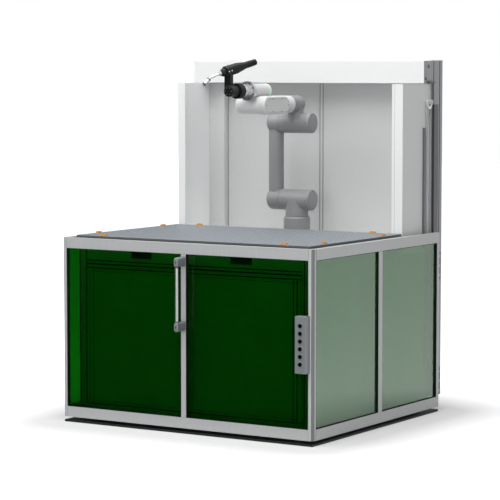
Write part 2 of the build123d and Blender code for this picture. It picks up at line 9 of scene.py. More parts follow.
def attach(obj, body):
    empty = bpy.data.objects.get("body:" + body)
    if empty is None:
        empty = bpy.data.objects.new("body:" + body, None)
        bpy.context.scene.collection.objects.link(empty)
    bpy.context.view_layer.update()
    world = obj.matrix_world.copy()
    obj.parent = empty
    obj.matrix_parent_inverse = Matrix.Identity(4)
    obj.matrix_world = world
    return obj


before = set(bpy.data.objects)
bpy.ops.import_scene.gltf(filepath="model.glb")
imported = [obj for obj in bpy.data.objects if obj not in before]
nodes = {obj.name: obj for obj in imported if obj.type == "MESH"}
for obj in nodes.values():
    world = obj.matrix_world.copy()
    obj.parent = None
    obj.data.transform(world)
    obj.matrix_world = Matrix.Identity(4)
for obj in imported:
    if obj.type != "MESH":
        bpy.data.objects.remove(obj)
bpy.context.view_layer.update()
scene = bpy.context.scene
scene.view_settings.view_transform = "Standard"


# Materials

noise_detail, noise_rough = 4.0, 0.55
ramp_start, ramp_end = 0.3, 0.7
bevel_samples = 4
bump_fineness = 8


def srgb(code):
    """A hex colour as linear RGBA."""
    parts = [int(code[i:i + 2], 16) / 255 for i in (1, 3, 5)]
    return [p / 12.92 if p <= 0.04045 else ((p + 0.055) / 1.055) ** 2.4 for p in parts] + [1.0]


def new_material(name):
    mat = bpy.data.materials.new(name)
    mat.use_nodes = True
    tree = mat.node_tree
    return mat, tree, tree.nodes["Principled BSDF"]


def noise(tree, scale, stretch=(1, 1, 1)):
    """Noise in object coordinates, stretched along the axes."""
    coord = tree.nodes.new("ShaderNodeTexCoord")
    mapping = tree.nodes.new("ShaderNodeMapping")
    mapping.inputs["Scale"].default_value = stretch
    tex = tree.nodes.new("ShaderNodeTexNoise")
    tex.inputs["Scale"].default_value = scale
    tex.inputs["Detail"].default_value = noise_detail
    tex.inputs["Roughness"].default_value = noise_rough
    tree.links.new(coord.outputs["Object"], mapping.inputs["Vector"])
    tree.links.new(mapping.outputs["Vector"], tex.inputs["Vector"])
    return tex.outputs["Fac"]


def ramp(tree, fac, low, high):
    """A two-colour ramp over a value."""
    node = tree.nodes.new("ShaderNodeValToRGB")
    first, last = node.color_ramp.elements
    first.position, last.position = ramp_start, ramp_end
    first.color, last.color = low, high
    tree.links.new(fac, node.inputs["Fac"])
    return node.outputs["Color"]


def rough_range(tree, shader, fac, low, high):
    """Roughness that follows a value."""
    node = tree.nodes.new("ShaderNodeMapRange")
    node.inputs["To Min"].default_value = low
    node.inputs["To Max"].default_value = high
    tree.links.new(fac, node.inputs["Value"])
    tree.links.new(node.outputs["Result"], shader.inputs["Roughness"])


def soft_edges(tree, shader, fac, strength, distance, radius):
    """Bump from a value over a bevelled normal."""
    edge = tree.nodes.new("ShaderNodeBevel")
    edge.samples = bevel_samples
    edge.inputs["Radius"].default_value = radius
    bump = tree.nodes.new("ShaderNodeBump")
    bump.inputs["Strength"].default_value = strength
    bump.inputs["Distance"].default_value = distance
    tree.links.new(fac, bump.inputs["Height"])
    tree.links.new(edge.outputs["Normal"], bump.inputs["Normal"])
    tree.links.new(bump.outputs["Normal"], shader.inputs["Normal"])


def surface(name, colour, rough, vary, scale, bump, metal=0.0, stretch=(1, 1, 1), depth=0.0002, edge=0.0015,
            specular=0.5):
    """A painted, plastic or metal surface with fine variation, bump and softened edges."""
    mat, tree, shader = new_material(name)
    base = srgb(colour)
    fac = noise(tree, scale, stretch)
    low = [c * (1 - vary) for c in base[:3]] + [1.0]
    high = [min(1.0, c * (1 + vary)) for c in base[:3]] + [1.0]
    tree.links.new(ramp(tree, fac, low, high), shader.inputs["Base Color"])
    rough_range(tree, shader, fac, *rough)
    shader.inputs["Metallic"].default_value = metal
    shader.inputs["Specular IOR Level"].default_value = specular
    soft_edges(tree, shader, noise(tree, scale * bump_fineness, stretch), bump, depth, edge)
    return mat


def tinted(name, colour, rough, ior, specular):
    """Clear sheet that tints what is behind it."""
    mat, tree, shader = new_material(name)
    base = srgb(colour)
    low = [c * 0.94 for c in base[:3]] + [1.0]
    tree.links.new(ramp(tree, noise(tree, 6.0), low, base), shader.inputs["Base Color"])
    shader.inputs["Transmission Weight"].default_value = 1.0
    shader.inputs["IOR"].default_value = ior
    shader.inputs["Specular IOR Level"].default_value = specular
    rough_range(tree, shader, noise(tree, 40.0), *rough)
    return mat


def glowing(name, low, high, glow, strength, rough):
    """Pale plastic, lit from inside."""
    mat, tree, shader = new_material(name)
    fac = noise(tree, 80.0)
    tree.links.new(ramp(tree, fac, srgb(low), srgb(high)), shader.inputs["Base Color"])
    shader.inputs["Emission Color"].default_value = srgb(glow)
    shader.inputs["Emission Strength"].default_value = strength
    rough_range(tree, shader, fac, *rough)
    return mat


anodised = surface("anodised_profile", "#BFC1C2", rough=(0.36, 0.48), vary=0.03, scale=24.0, bump=0.12, metal=0.15,
                   stretch=(6, 6, 0.5), depth=0.0003)
# Grey of the column profiles, also painted shade on the header's end.
column_and_shade_metal = surface("column_profile_and_painted_shade", "#909294", rough=(0.36, 0.48), vary=0.05, scale=24.0, bump=0.12,
                       metal=0.45, stretch=(6, 6, 0.4), depth=0.0003)
dark_steel = surface("dark_steel", "#58595B", rough=(0.36, 0.5), vary=0.1, scale=40.0, bump=0.15, metal=0.6,
                     stretch=(4, 4, 0.5), depth=0.0003)
bright = surface("bright_steel", "#C6C8CA", rough=(0.24, 0.34), vary=0.06, scale=60.0, bump=0.06, metal=0.85,
                 edge=0.0008)
plate_steel = surface("table_plate_steel", "#868C91", rough=(0.5, 0.6), vary=0.07, scale=30.0, bump=0.15, metal=0.1,
                      stretch=(0.6, 9, 4), depth=0.0003, specular=0.15)
box_grey = surface("button_box_grey", "#868B8E", rough=(0.40, 0.52), vary=0.04, scale=90.0, bump=0.15, metal=0.2,
                   depth=0.0003)
# Grey for the bands on the rounded guard corners: painted shade.
corner_shade_metal = surface("corner_painted_shade", "#77787A", rough=(0.45, 0.55), vary=0.04, scale=60.0, bump=0.1, metal=0.2)
black_coat = surface("black_powder_coat", "#101112", rough=(0.5, 0.65), vary=0.15, scale=90.0, bump=0.3,
                     depth=0.0003, specular=0.3)
white_coat = surface("white_powder_coat", "#EFF0F0", rough=(0.45, 0.55), vary=0.015, scale=110.0, bump=0.18)
# Darker copy of the white wall paint: its grey is painted shade for the back wall and the column covers deep in the
# cell.
shaded_back_coat = surface("back_wall_painted_shade_coat", "#CDCECE", rough=(0.45, 0.55), vary=0.02, scale=110.0, bump=0.18)
grey_coat = surface("cabinet_coat", "#D3D6D8", rough=(0.42, 0.52), vary=0.02, scale=110.0, bump=0.18)
robot_grey = surface("robot_grey_paint", "#8E8F90", rough=(0.40, 0.50), vary=0.02, scale=70.0, bump=0.08)
robot_white = surface("robot_white_paint", "#DADBDB", rough=(0.36, 0.46), vary=0.015, scale=70.0, bump=0.08)
orange = surface("stop_orange", "#E89A2C", rough=(0.35, 0.5), vary=0.08, scale=120.0, bump=0.2)
black_plastic = surface("black_plastic", "#101112", rough=(0.30, 0.42), vary=0.2, scale=160.0, bump=0.2,
                        depth=0.0003, specular=0.22)
button_black = surface("button_black", "#060606", rough=(0.6, 0.7), vary=0.2, scale=160.0, bump=0.2, specular=0.03)
# Dark grey for seams and joint lines, also painted shade on the table plate's edges.
seam_and_shade_grey = surface("seam_and_shade_grey", "#5C5E60", rough=(0.5, 0.65), vary=0.1, scale=160.0, bump=0.2)
belt_grey = surface("belt_grey", "#A9ABAD", rough=(0.55, 0.7), vary=0.1, scale=180.0, bump=0.3, depth=0.0003)
# Black rubber for the gaskets and box seam, also the painted shadow lines round the cabinet doors.
rubber_and_shadow = surface("black_rubber_and_painted_shadow", "#0C0D0D", rough=(0.65, 0.8), vary=0.2, scale=200.0, bump=0.4, depth=0.0003,
                 specular=0.2)
front_tint = tinted("front_screen_tint", "#1E7620", rough=(0.03, 0.06), ior=1.3, specular=0.2)
# Paler than the front tint: painted light and painted reflection, for the white surroundings and the lit inside seen
# in the side screens.
side_lit_tint = tinted("side_screen_painted_light_tint", "#5BA265", rough=(0.06, 0.11), ior=1.65, specular=0.6)
lit_ring = glowing("lit_ring", "#BFE8CB", "#D2F2DB", glow="#A8E8BC", strength=0.25, rough=(0.3, 0.4))

worn_by = (
    (black_coat, ("base_plate", "table_skirt")),
    (grey_coat, ("cabinet_body", "left_door", "right_door", "left_drawer_front", "right_drawer_front")),
    (black_plastic, ("drawer_pulls", "torch_mount", "torch_body")),
    (plate_steel, ("table_plate",)),
    (orange, ("table_stops",)),
    (white_coat, ("robot_deck", "left_wall", "right_wall", "header_box")),
    (shaded_back_coat, ("left_back_panel", "right_back_panel")),
    (column_and_shade_metal, ("left_column", "right_column")),
    (dark_steel, ("guide_rails", "left_carriages", "right_carriages")),
    (bright, ("lift_pulleys", "handle_bar", "tool_flange", "torch_neck", "torch_nozzle")),
    (belt_grey, ("lift_belts",)),
    (box_grey, ("seal_strips", "handle_brackets", "button_box")),
    (anodised, ("guard_front_frame", "guard_left_frame", "guard_right_frame")),
    (front_tint, ("front_screens",)),
    (side_lit_tint, ("left_screens", "right_screens")),
    (button_black, ("push_buttons",)),
    (robot_grey, ("robot_base", "robot_shoulder", "robot_lower_arm", "robot_elbow")),
    (robot_white, ("robot_forearm", "robot_wrist")),
    (lit_ring, ("light_ring",)),
)
for material, wearers in worn_by:
    for wearer in wearers:
        slots = nodes[wearer].data.materials
        for index in range(len(slots)):
            slots[index] = material


# Mesh building

sides = (-1, 1)
right, front, back, up = (1, 0, 0), (0, -1, 0), (0, 1, 0), (0, 0, 1)
sharp_angle = math.radians(35)
screw_sink = 0.0005
strip_thickness = 0.0006
fine_steps = 64


def around(middle, half):
    """A span about its middle."""
    return middle - half, middle + half


def mirrored(side, one, two):
    """A span on the left or right of the middle, low end first."""
    return sorted((side * one, side * two))


class Piece:
    """Gathers small solids into one mesh, which then rides on a body."""

    def __init__(self):
        self.bm = bmesh.new()

    def block(self, x, y, z, bevel=0.0):
        """A block over three spans."""
        size = [span[1] - span[0] for span in (x, y, z)]
        middle = [(span[0] + span[1]) / 2 for span in (x, y, z)]
        made = bmesh.ops.create_cube(self.bm, size=1.0)["verts"]
        bmesh.ops.scale(self.bm, vec=size, verts=made)
        bmesh.ops.translate(self.bm, vec=middle, verts=made)
        if bevel:
            edges = list({e for v in made for e in v.link_edges})
            bmesh.ops.bevel(self.bm, geom=edges, offset=bevel, segments=2, affect="EDGES", profile=0.5)

    def lathe(self, rings, origin, axis, steps=32, hexes=()):
        """Turn (radius, height) rings about an axis into a closed solid; rings named in hexes are six-sided."""
        rings, hexes = list(rings), set(hexes)
        if rings[0][0] > 0 and rings[-1][0] <= 0:
            rings.insert(0, (0, rings[0][1]))
            hexes = {number + 1 for number in hexes}
        elif rings[0][0] <= 0 and rings[-1][0] > 0:
            rings.append((0, rings[-1][1]))
        turn = Vector(axis).normalized().to_track_quat("Z", "Y").to_matrix().to_4x4()
        place = Matrix.Translation(origin) @ turn
        loops = []
        for number, (radius, height) in enumerate(rings):
            if radius <= 0:
                loops.append([self.bm.verts.new(place @ Vector((0, 0, height)))])
                continue
            loop = []
            for step in range(steps):
                angle = 2 * math.pi * step / steps
                reach = radius
                if number in hexes:
                    reach *= math.cos(math.pi / 6) / math.cos(angle % (math.pi / 3) - math.pi / 6)
                loop.append(self.bm.verts.new(
                    place @ Vector((reach * math.cos(angle), reach * math.sin(angle), height))))
            loops.append(loop)
        if len(loops[0]) > 1:
            loops.append(loops[0])
        for one, two in zip(loops, loops[1:]):
            for step in range(steps):
                after = (step + 1) % steps
                if len(one) == 1:
                    self.bm.faces.new((one[0], two[step], two[after]))
                elif len(two) == 1:
                    self.bm.faces.new((one[step], two[0], one[after]))
                else:
                    self.bm.faces.new((one[step], two[step], two[after], one[after]))

    def screw(self, origin, axis, radius, height=None):
        """A socket head screw: chamfered head with a six-sided recess."""
        height = height or radius * 0.9
        self.lathe(
            [(0, -screw_sink), (radius, -screw_sink), (radius, height * 0.85), (radius * 0.88, height),
             (radius * 0.56, height), (radius * 0.56, height * 0.4), (0, height * 0.4)],
            origin, axis, 24, hexes=(4, 5))

    def bars(self, axis, depth, across, rise, width, bevel=0.0):
        """Four bars along the inside edges of an upright rectangle that faces along X or Y."""
        depth, (near, far), (low, high) = sorted(depth), sorted(across), rise
        between = (low + width, high - width)
        spans = (
            ((near, far), (low, low + width)), ((near, far), (high - width, high)),
            ((near, near + width), between), ((far - width, far), between),
        )
        for along, height in spans:
            if axis == "y":
                self.block(along, depth, height, bevel)
            else:
                self.block(depth, along, height, bevel)

    def sweep(self, centre, radius, angles, rise, steps=12):
        """A thin upright strip that follows part of a round corner."""
        inside = radius - strip_thickness
        corners = ((radius, rise[0]), (radius, rise[1]), (inside, rise[1]), (inside, rise[0]))
        columns = []
        for step in range(steps + 1):
            angle = math.radians(angles[0] + (angles[1] - angles[0]) * step / steps)
            columns.append([self.bm.verts.new(
                (centre[0] + reach * math.cos(angle), centre[1] + reach * math.sin(angle), z))
                for reach, z in corners])
        for one, two in zip(columns, columns[1:]):
            for i in range(4):
                j = (i + 1) % 4
                self.bm.faces.new((one[i], two[i], two[j], one[j]))
        self.bm.faces.new(columns[0])
        self.bm.faces.new(columns[-1])

    def loop(self, middle, along, out, points, width, height):
        """A flat raised line along a closed outline given in the plane of two directions."""
        along, out = Vector(along), Vector(out)
        face = along.cross(out)
        rails = []
        for shift, lift in ((-0.5, 0), (-0.5, 1), (0.5, 1), (0.5, 0)):
            rails.append([self.bm.verts.new(
                Vector(middle) + along * (u + shift * width * nu) + out * (v + shift * width * nv)
                + face * (height * lift)) for u, v, nu, nv in points])
        count = len(points)
        for one, two in zip(rails, rails[1:] + rails[:1]):
            for i in range(count):
                j = (i + 1) % count
                self.bm.faces.new((one[i], one[j], two[j], two[i]))

    def done(self, name, material, body, slot):
        """Make the mesh, smooth it between sharp edges and hang it on its body."""
        bmesh.ops.recalc_face_normals(self.bm, faces=self.bm.faces)
        mesh = bpy.data.meshes.new(name)
        self.bm.to_mesh(mesh)
        self.bm.free()
        mesh.materials.append(material)
        piece = bpy.data.objects.new(name, mesh)
        scene.collection.objects.link(piece)
        for face in mesh.polygons:
            face.use_smooth = True
        mesh.set_sharp_from_angle(angle=sharp_angle)
        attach(piece, body)


# Guard: gaskets, painted shade on the corner posts, joint lines, screws

guard_front, screen_front = -0.7175, -0.7055
side_face, screen_side = 0.8075, 0.7955
guard_rise = guard_low, guard_high = 0.030, 1.030
bay_rise = bay_low, bay_high = 0.088, 0.972
rail_levels = (0.059, 1.001)
post_inner, mullion_half = 0.7775, 0.015
side_bays = ((-0.6875, -0.0125), (0.0275, 0.6765))
side_posts = ((-0.0125, 0.0275), (0.6765, 0.7025))
corner_line = (-0.6890, -0.6860)

gasket_inset, gasket_width, gasket_bevel = 0.002, 0.003, 0.0004
gaskets = Piece()
for side in sides:
    gaskets.bars("y", (guard_front + gasket_inset, screen_front), (side * mullion_half, side * post_inner),
                 bay_rise, gasket_width, gasket_bevel)
    for bay in side_bays:
        gaskets.bars("x", (side * (side_face - gasket_inset), side * screen_side), bay,
                     bay_rise, gasket_width, gasket_bevel)
gaskets.done("screen_gaskets", rubber_and_shadow, "guard", "black_plastic")

# The grey bands on the rounded corners are painted shade, standing in for the shaded side face of a sharp corner.
corner_x, corner_y = 0.7815, -0.6915
corner_grooves, corner_shade_bands = Piece(), Piece()
for side in sides:
    for piece, radius, angles in ((corner_grooves, 0.0262, (28, 31)), (corner_shade_bands, 0.0261, (31, 70))):
        piece.sweep((side * corner_x, corner_y), radius, [-90 + side * angle for angle in angles], guard_rise)
corner_grooves.done("corner_grooves", seam_and_shade_grey, "guard", "rail_steel")
corner_shade_bands.done("corner_shade_bands", corner_shade_metal, "guard", "frame_profile")

line_half, line_out = 0.0005, 0.0002
front_skin = (guard_front - line_out, guard_front + line_half)
seams = Piece()
for side in sides:
    for rise in ((guard_low, bay_low), (bay_high, guard_high)):
        seams.block(around(side * post_inner, line_half), front_skin, rise)
    side_skin = mirrored(side, side_face - line_half, side_face + line_out)
    seams.block(side_skin, corner_line, guard_rise)
    for level in bay_rise:
        for post in side_posts:
            seams.block(side_skin, post, around(level, line_half))
for level in bay_rise:
    seams.block(around(0, mullion_half), front_skin, around(level, line_half))
seams.done("frame_joint_lines", seam_and_shade_grey, "guard", "rail_steel")

frame_screws = Piece()
for level in rail_levels:
    for side in sides:
        for y in (-0.672, 0.0075, 0.690):
            frame_screws.screw((side * side_face, y, level), (side, 0, 0), 0.0035, 0.0012)
    for x in (-0.7895, 0.0, 0.7895):
        frame_screws.screw((x, guard_front, level), front, 0.0030, 0.0010)
frame_screws.done("frame_screws", anodised, "guard", "frame_profile")

# Guard: handle and button box

handle_y, bracket_front = -0.7795, guard_front - 0.075
collar_offset, foot_half = 0.026, 0.027
collar = [(0.0085, 0.0), (0.0105, 0.0), (0.0105, 0.004), (0.0098, 0.005), (0.0085, 0.005)]
handle_screws = Piece()
for foot, inward in ((0.584, 1), (0.932, -1)):
    handle_screws.screw((0, bracket_front, foot), front, 0.0055, 0.0020)
    handle_screws.lathe(collar, (0, handle_y, foot + inward * collar_offset), (0, 0, inward))
    handle_screws.bars("y", (guard_front - 0.0015, guard_front), around(0, 0.0142), around(foot, foot_half), 0.0010)
handle_screws.done("handle_screws", dark_steel, "guard", "rail_steel")

box_front, button_x, box_middle = -0.7575, 0.7535, 0.535
button_pitch, button_out = 0.0403, 0.008
button_levels = [box_middle + (number - 2.5) * button_pitch for number in range(6)]
bezel = [(0.0112, 0.0), (0.0112, 0.0030), (0.0125, 0.0034), (0.0145, 0.0020), (0.0148, -0.0003)]
cap = [(0.0085, -0.0002), (0.0085, 0.0006), (0.0078, 0.0012), (0.0050, 0.0006), (0, 0.0004)]
bezels, button_caps = Piece(), Piece()
for z in button_levels:
    bezels.lathe(bezel, (button_x, box_front, z), front)
    button_caps.lathe(cap, (button_x, box_front - button_out, z), front)
for x in around(button_x, 0.027):
    for z in around(box_middle, 0.142):
        bezels.screw((x, box_front, z), front, 0.0026, 0.0010)
bezels.done("button_bezels", box_grey, "guard", "box_grey")
button_caps.done("button_caps", button_black, "guard", "black_plastic")

box_seam = Piece()
box_seam.bars("y", (-0.7290, -0.7275), (0.7192, 0.7878), (0.3847, 0.6853), 0.0010)
box_seam.done("button_box_seam", rubber_and_shadow, "guard", "black_plastic")

carriage_face = 0.7775
carriage_screws = Piece()
for side in sides:
    for z in (0.17, 0.835):
        for y in (0.722, 0.758):
            for rise in (-0.055, 0.0, 0.055):
                carriage_screws.screw((side * carriage_face, y, z + rise), (side, 0, 0), 0.0050)
carriage_screws.done("carriage_screws", bright, "guard", "bright_steel")

# Cell: cabinet trim, painted shadow lines round the doors, painted shade on the table edges, and stops

panel_front, cabinet_front = -0.6455, -0.6275
trim_bevel = 0.0015
trim = Piece()
for side in sides:
    for rise in ((0.889, 0.901), (0.866, 0.880), (0.080, 0.102)):
        trim.block(mirrored(side, 0.0035, 0.6945), (panel_front, cabinet_front), rise, trim_bevel)
for across in ((-0.7335, -0.6985), (0.7000, 0.7090), (0.7150, 0.7390)):
    trim.block(across, (panel_front, cabinet_front), (0.062, 1.027), trim_bevel)
trim.done("cabinet_trim", grey_coat, "cell", "cabinet_panel")

# Black strips round the doors and across the fronts are painted shadow: they stand for the dark gaps between drawers,
# doors and body.
shadow_line_low, door_top, shadow_line_top = 0.108, 0.858, 1.026
shadow_line_front = panel_front - 0.0005
door_shadow_lines = Piece()
for side in sides:
    door_shadow_lines.bars("y", around(panel_front, 0.0003), (side * 0.014, side * 0.672), (0.122, 0.845), 0.0020)
    for rise in ((0.901, 0.907), (0.881, 0.887), (0.860, 0.8635), (0.103, 0.108), (0.066, 0.080)):
        door_shadow_lines.block(mirrored(side, 0.0025, 0.6950), (panel_front - 0.0004, cabinet_front), rise)
for x, half, top in ((-0.6930, 0.0035, shadow_line_top), (-0.6450, 0.0012, door_top), (0.6450, 0.0026, door_top),
                     (0.6685, 0.0035, door_top)):
    door_shadow_lines.block(around(x, half), (shadow_line_front, panel_front + 0.0003), (shadow_line_low, top))
for across in ((-0.7398, -0.7330), (0.7085, 0.7155)):
    door_shadow_lines.block(across, (shadow_line_front, cabinet_front + 0.0005), (shadow_line_low, shadow_line_top))
door_shadow_lines.done("door_shadow_lines", rubber_and_shadow, "cell", "black_plastic")

plate_half, plate_front, plate_rear = 0.7523, -0.6558, 0.3448
plate_rise, skin_half = (1.0295, 1.0402), 0.0003
# Dark grey skin on the plate's four edges is painted shade: the dark line under the plate's edge.
plate_edge_shade = Piece()
for y in (plate_front, plate_rear):
    plate_edge_shade.block(around(0, plate_half), around(y, skin_half), plate_rise)
for x in around(0, plate_half):
    plate_edge_shade.block(around(x, skin_half), (plate_front, plate_rear), plate_rise)
plate_edge_shade.done("plate_edge_shade", seam_and_shade_grey, "cell", "rail_steel")

skirt_covers = Piece()
for side in sides:
    skirt_covers.block(mirrored(side, 0.7399, 0.7411), (-0.6260, 0.3310), (0.9250, 1.0285), 0.0003)
skirt_covers.done("skirt_covers", grey_coat, "cell", "cabinet_panel")

stop_top = 1.051
stop_screws = Piece()
for columns, rows in (((-0.5805, 0.5805), (-0.6355, 0.3245)), ((-0.732, 0.732), (-0.4755, 0.1645))):
    for x in columns:
        for y in rows:
            stop_screws.screw((x, y, stop_top), up, 0.0035, 0.0015)
stop_screws.done("stop_screws", dark_steel, "cell", "rail_steel")

# Cell: back wall, columns, header and lift

back_rise, cover_rise, cover_bevel = (0.940, 1.990), (0.9395, 1.8745), 0.0002
# The column covers and the joint strip wear the darker back coat, whose grey is painted shade.
covers = Piece()
covers.block((0.0035, 0.0190), (0.7295, 0.7324), back_rise, 0.0008)
for side in sides:
    covers.block(mirrored(side, 0.6408, 0.7465), (0.6884, 0.6894), cover_rise, cover_bevel)
    covers.block(mirrored(side, 0.6408, 0.6419), (0.6890, 0.7324), cover_rise, cover_bevel)
covers.done("back_wall_covers", shaded_back_coat, "cell", "white_panel")

joint_lines = Piece()
for x, half in ((0.0010, 0.0024), (0.0215, 0.0015), (-0.6395, 0.0012), (0.6395, 0.0012)):
    joint_lines.block(around(x, half), (0.7316, 0.7327), back_rise)
joint_lines.block((0.6995, 0.7005), (0.3571, 0.3577), (0.945, 1.870))
joint_lines.done("panel_joint_lines", seam_and_shade_grey, "cell", "rail_steel")

back_face, back_screw_low, back_screw_pitch = 0.7525, 0.98, 0.195
back_screws = Piece()
for side in sides:
    for x in (0.030, 0.330, 0.620):
        for number in range(6):
            back_screws.screw((side * x, back_face, back_screw_low + number * back_screw_pitch), back, 0.0045, 0.0018)
back_screws.done("back_panel_screws", dark_steel, "cell", "rail_steel")

cap_top = 2.0092
column_caps = Piece()
for side in sides:
    column_caps.block(mirrored(side, 0.6447, 0.7503), (0.6922, 0.8408), (2.0040, cap_top), 0.0006)
    for x in (0.672, 0.723):
        for y in (0.7295, 0.8035):
            column_caps.screw((side * x, y, cap_top), up, 0.0055, 0.0008)
column_caps.done("column_caps", white_coat, "cell", "white_panel")

header_face = 0.7500
# Grey plate over the header's white end is painted shade: the end faces the side and lies in shadow.
end_shade_plate = Piece()
end_shade_plate.block((header_face, 0.7512), (0.6085, 0.6920), (1.878, 2.005), 0.0003)
end_shade_plate.done("header_end_shade_plate", column_and_shade_metal, "cell", "frame_profile")

strip_edges = Piece()
for side in sides:
    strip_edges.block(mirrored(side, header_face, 0.7603), (0.5975, 0.6006), (0.940, 1.627))
strip_edges.done("strip_edges", seam_and_shade_grey, "cell", "rail_steel")

header_end = Piece()
header_end.lathe([(0.0105, -0.0003), (0.0105, 0.0030), (0.0080, 0.0034), (0.0080, 0.0005), (0, 0.0005)],
                 (header_face, 0.662, 1.973), right)
header_end.screw((header_face, 0.628, 1.903), right, 0.0085, 0.0050)
header_end.block((0.7502, 0.7640), (0.650, 0.731), (1.877, 1.889), 0.0020)
header_end.lathe([(0, 0.0), (0.0040, 0.0), (0.0040, 0.097), (0, 0.097)], (0.7575, 0.700, 1.783), up)
header_end.done("header_end_fittings", dark_steel, "cell", "rail_steel")

lift_caps = Piece()
for side in sides:
    lift_caps.block(mirrored(side, 0.7504, 0.7720), (0.6170, 0.6910), (1.7560, 1.7850), 0.0070)
lift_caps.done("lift_caps", anodised, "cell", "frame_profile")

rail_face, rail_middle, rail_bolt_low, rail_bolt_pitch = 0.762, 0.7415, 0.17, 0.08
rail_bolt = [(0.0048, -0.0004), (0.0048, 0.0002), (0.0030, 0.0002), (0.0026, -0.0003), (0, -0.0003)]
lift_axles = Piece()
for side in sides:
    for z in (0.29, 1.756):
        lift_axles.screw((side * 0.769, 0.6465, z), (side, 0, 0), 0.0075, 0.0030)
    for number in range(20):
        lift_axles.lathe(rail_bolt, (side * rail_face, rail_middle, rail_bolt_low + number * rail_bolt_pitch),
                         (side, 0, 0), 24, hexes=(2, 3))
lift_axles.done("lift_axles", seam_and_shade_grey, "cell", "rail_steel")

# Arm: foot screws, end caps, joint lines, fork panel

robot_y, shoulder_z, elbow_z, forearm_z, tool_z = 0.4695, 1.204, 1.648, 1.757, 1.837
shoulder_radius, elbow_radius = 0.061, 0.059
drum_end, drum_ring_x = 0.107, -0.0945


def bolt_circle(radius, count, first=0.0):
    """Evenly spaced places round a circle, as pairs in its plane."""
    for number in range(count):
        angle = math.radians(first + 360 / count * number)
        yield radius * math.cos(angle), radius * math.sin(angle)


foot_top, foot_circle = 0.955, 0.0815
foot_screws = Piece()
for x, y in bolt_circle(foot_circle, 8, 22.5):
    foot_screws.screw((x, robot_y + y, foot_top), up, 0.0032)
foot_screws.done("robot_foot_screws", dark_steel, "cell", "rail_steel")


def joint_cap(name, body, z, radius):
    """Round cover on a drum's end, with a dark line round it and small plugs."""
    middle = (drum_end, robot_y, z)
    edge, sink = radius - 0.0115, -0.0004
    cover = Piece()
    cover.lathe([(edge, sink), (edge, 0.0010), (radius - 0.0130, 0.0016), (0, 0.0016)], middle, right, fine_steps)
    cover.done(name + "_cap", robot_grey, body, "robot_grey")
    inner, outer, line_top = radius - 0.0116, radius - 0.0100, 0.0002
    line = Piece()
    line.lathe([(inner, sink), (inner, line_top), (outer, line_top), (outer, sink)], middle, right, fine_steps)
    for y, rise in bolt_circle(radius - 0.0210, 4, 45):
        line.screw((drum_end + 0.0016, robot_y + y, z + rise), right, 0.0018, 0.0004)
    line.screw((0.089, robot_y - radius + 0.0002, z), front, 0.0026, 0.0006)
    line.done(name + "_cap_line", seam_and_shade_grey, body, "rail_steel")


joint_cap("shoulder", "shoulder", shoulder_z, shoulder_radius)
joint_cap("elbow", "elbow", elbow_z, elbow_radius)


def ring_line(name, body, origin, axis, radius):
    """Thin line round a joint."""
    half, inner, outer = 0.0005, radius - 0.0006, radius + 0.0003
    line = Piece()
    line.lathe([(inner, -half), (outer, -half), (outer, half), (inner, half)], origin, axis, fine_steps)
    line.done(name, seam_and_shade_grey, body, "rail_steel")


ring_line("base_ring", "shoulder", (0, robot_y, 1.1100), up, 0.066)
ring_line("shoulder_ring", "shoulder", (drum_ring_x, robot_y, shoulder_z), right, shoulder_radius)
ring_line("elbow_ring", "elbow", (drum_ring_x, robot_y, elbow_z), right, elbow_radius)
ring_line("forearm_ring", "elbow", (0, 0.3700, forearm_z), back, 0.050)
ring_line("housing_ring", "wrist", (0, -0.0480, tool_z), back, 0.040)
ring_line("light_ring_edge", "wrist", (0, 0.1175, tool_z), back, 0.040)

fork_half, fork_round, fork_steps = 0.0875, 0.0385, 24
fork_points = []
for end, start in ((1, -90), (-1, 90)):
    for step in range(fork_steps + 1):
        angle = math.radians(start + 180 * step / fork_steps)
        normal = (math.cos(angle), math.sin(angle))
        fork_points.append((end * fork_half + fork_round * normal[0], fork_round * normal[1], *normal))
fork_panel = Piece()
fork_panel.loop((0.0999, 0.0870, forearm_z), back, up, fork_points, width=0.0008, height=0.0003)
for y, rise in ((-0.0330, 0.0), (0.0400, 0.0345), (0.1345, 0.0345), (0.0400, -0.0345), (0.1345, -0.0345),
                (0.2040, 0.0)):
    fork_panel.screw((0.1000, y, forearm_z + rise), right, 0.0030, 0.0006)
fork_panel.done("fork_panel_screws", seam_and_shade_grey, "forearm", "rail_steel")

# Tool: bright rings, screws, torch ribs and nut, nozzle rings

flange_rings = Piece()
flange_rings.lathe([(0.0380, 0.0), (0.0430, 0.0008), (0.0440, 0.0040), (0.0430, 0.0080), (0.0380, 0.0088)],
                   (0, -0.0495, tool_z), front, fine_steps)
flange_rings.lathe([(0.0340, 0.0), (0.0375, 0.0005), (0.0382, 0.0030), (0.0375, 0.0060), (0.0340, 0.0065)],
                   (0, -0.1000, tool_z), front, fine_steps)
flange_rings.done("flange_rings", bright, "tool", "bright_steel")

flange_face, mount_face = -0.0775, -0.2685
tool_screws = Piece()
for x, rise in bolt_circle(0.0450, 8, 22.5):
    tool_screws.screw((x, flange_face, tool_z + rise), front, 0.0048)
for x, rise in bolt_circle(0.0200, 6):
    tool_screws.screw((x, mount_face, tool_z + rise), front, 0.0036, 0.0018)
tool_screws.done("tool_screws", dark_steel, "tool", "rail_steel")

torch_yaw, torch_pitch, neck_turn = math.radians(25.0), math.radians(15.5), math.radians(26.0)
forward = Vector((-math.sin(torch_yaw) * math.cos(torch_pitch), -math.cos(torch_yaw) * math.cos(torch_pitch),
                  -math.sin(torch_pitch)))
sideways = Vector((math.cos(torch_yaw), -math.sin(torch_yaw), 0))
down = sideways.cross(forward)
torch_point = Vector((-0.027, -0.2325, 1.947))


def rib(place, half, flat, inner, outer):
    """Outline of a low ring with sloped flanks, at a place along its axis."""
    return [(inner, place - half), (outer, place - flat), (outer, place + flat), (inner, place + half)]


